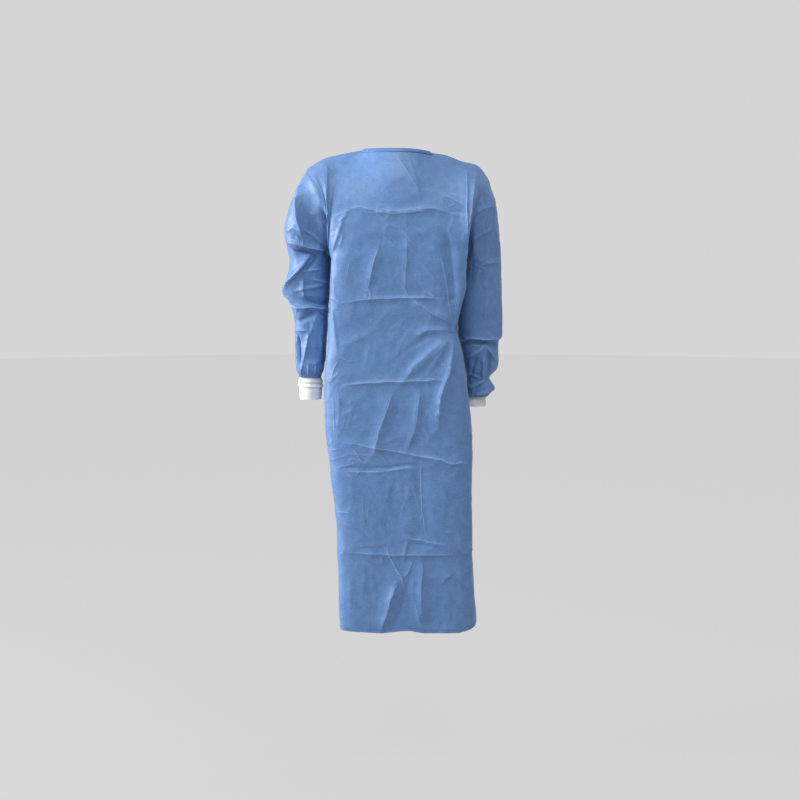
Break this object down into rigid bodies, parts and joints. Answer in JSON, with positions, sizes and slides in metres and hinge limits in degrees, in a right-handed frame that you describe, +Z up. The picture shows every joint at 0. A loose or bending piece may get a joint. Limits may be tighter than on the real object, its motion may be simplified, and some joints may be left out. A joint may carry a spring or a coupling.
{
  "type": "surgical gown",
  "caption": "Long-sleeved blue surgical gown with knitted white cuffs, lapped back and waist ties, worn and hollow.",
  "frame": {"origin": "middle of the neck opening, at the height where the shoulder seams meet the neck", "axes": "+Z up, -Y the way the wearer faces, +X the wearer's left"},
  "size_m": [0.5486, 0.3016, 1.1736],
  "materials": {
    "gown_cloth": "matte",
    "gown_binding": "matte",
    "gown_knit": "matte"
  },
  "bodies": {
    "root": {"front_panel": "gown_cloth", "back_panel_left": "gown_cloth", "back_panel_right": "gown_cloth", "sleeve_right": "gown_cloth", "sleeve_left": "gown_cloth", "cuff_right": "gown_knit", "cuff_left": "gown_knit", "neck_binding": "gown_binding", "neck_tab": "gown_cloth", "tie_patch": "gown_cloth", "waist_tie_left": "gown_cloth", "waist_tie_right": "gown_cloth", "waist_knot": "gown_cloth", "tie_end_left": "gown_cloth", "tie_end_right": "gown_cloth"}
  },
  "joints": []
}
